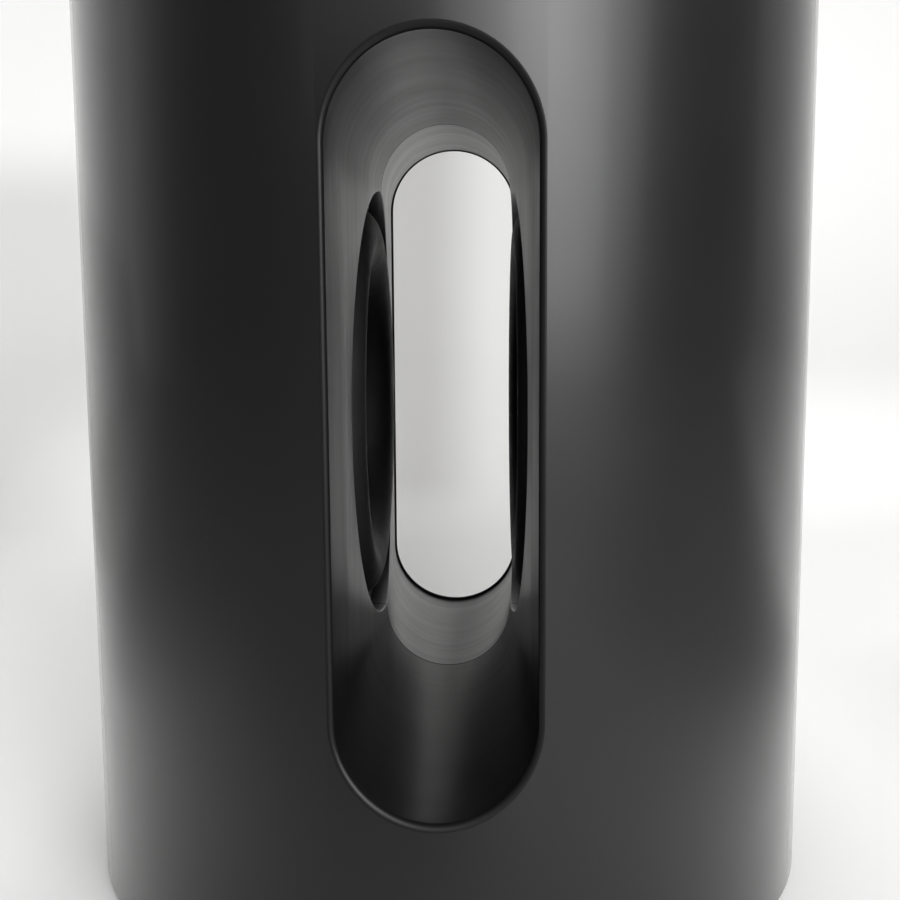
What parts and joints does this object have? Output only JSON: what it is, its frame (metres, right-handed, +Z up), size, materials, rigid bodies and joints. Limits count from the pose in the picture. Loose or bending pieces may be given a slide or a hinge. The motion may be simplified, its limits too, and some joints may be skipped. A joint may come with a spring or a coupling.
{
  "type": "powered subwoofer",
  "caption": "Upright cylindrical subwoofer with a see-through pill-shaped tunnel; opposed woofers face each other across it, with sockets and a button at the low rear.",
  "frame": {"origin": "centre of the footprint, on the surface that the foot ring stands on", "axes": "+Z up along the cylinder; the tunnel runs along Y with its front mouth towards -Y; the drivers face each other along X"},
  "size_m": [0.23, 0.23, 0.305],
  "materials": {
    "satin_black": "fine matte black polycarbonate",
    "moulded_black": "plain moulded black",
    "rubber_black": "matt black rubber",
    "cone_black": "black pressed pulp",
    "painted_steel": "black painted steel",
    "zinc_steel": "zinc plated steel",
    "ferrite": "dark ferrite",
    "copper": "enamelled copper wire",
    "paper_tan": "tan paper former",
    "cloth_tan": "tan treated cloth",
    "circuit_green": "green circuit board",
    "aluminium": "extruded aluminium",
    "foam_grey": "grey damping foam",
    "clear_lens": "milky light pipe",
    "nickel": "nickel plated"
  },
  "bodies": {
    "enclosure": {"outer_shell": "satin_black", "top_cap": "satin_black", "tunnel_front": "satin_black", "tunnel_rear": "satin_black", "tunnel_seal_top": "rubber_black", "tunnel_seal_bottom": "rubber_black", "base_plate": "moulded_black", "base_gasket": "rubber_black", "foot_ring": "rubber_black", "base_screw_1": "zinc_steel", "base_screw_2": "zinc_steel", "base_screw_3": "zinc_steel", "base_screw_4": "zinc_steel", "base_screw_5": "zinc_steel", "base_screw_6": "zinc_steel", "left_basket": "painted_steel", "left_driver_gasket": "rubber_black", "left_surround": "rubber_black", "left_spider": "cloth_tan", "left_top_plate": "zinc_steel", "left_magnet": "ferrite", "left_yoke": "zinc_steel", "left_terminal": "moulded_black", "left_driver_cable": "rubber_black", "left_baffle_plate": "moulded_black", "right_basket": "painted_steel", "right_driver_gasket": "rubber_black", "right_surround": "rubber_black", "right_spider": "cloth_tan", "right_top_plate": "zinc_steel", "right_magnet": "ferrite", "right_yoke": "zinc_steel", "right_terminal": "moulded_black", "right_driver_cable": "rubber_black", "right_baffle_plate": "moulded_black", "damping_foam": "foam_grey", "io_panel": "moulded_black", "ac_inlet": "moulded_black", "inlet_pin_left": "nickel", "inlet_pin_right": "nickel", "ethernet_jack": "nickel", "button_board": "circuit_green", "button_switch": "moulded_black", "status_lens": "clear_lens", "power_supply_board": "circuit_green", "amplifier_board": "circuit_green", "transformer": "ferrite", "bulk_capacitor_1": "moulded_black", "bulk_capacitor_2": "moulded_black", "heat_sink": "aluminium", "wireless_module": "nickel"},
    "left_diaphragm": {"left_cone": "cone_black", "left_dust_cap": "cone_black", "left_voice_coil_former": "paper_tan", "left_voice_coil": "copper"},
    "right_diaphragm": {"right_cone": "cone_black", "right_dust_cap": "cone_black", "right_voice_coil_former": "paper_tan", "right_voice_coil": "copper"},
    "button": {"join_button": "moulded_black"}
  },
  "joints": [
    {"name": "left_cone_travel", "type": "slide", "parent": "enclosure", "child": "left_diaphragm", "axis": [-1, 0, 0], "range_m": [-0.007, 0.007], "stiffness_N_per_m": 2500, "deforming": ["left_surround", "left_spider"]},
    {"name": "right_cone_travel", "type": "slide", "parent": "enclosure", "child": "right_diaphragm", "axis": [1, 0, 0], "range_m": [-0.007, 0.007], "stiffness_N_per_m": 2500, "deforming": ["right_surround", "right_spider"]},
    {"name": "join_button_press", "type": "slide", "parent": "enclosure", "child": "button", "axis": [0, -1, 0], "range_m": [0, 0.0008], "stiffness_N_per_m": 600, "springref_m": -0.0005}
  ],
  "couplings": [
    {"joint": "right_cone_travel", "follows": "left_cone_travel", "ratio": 1}
  ]
}
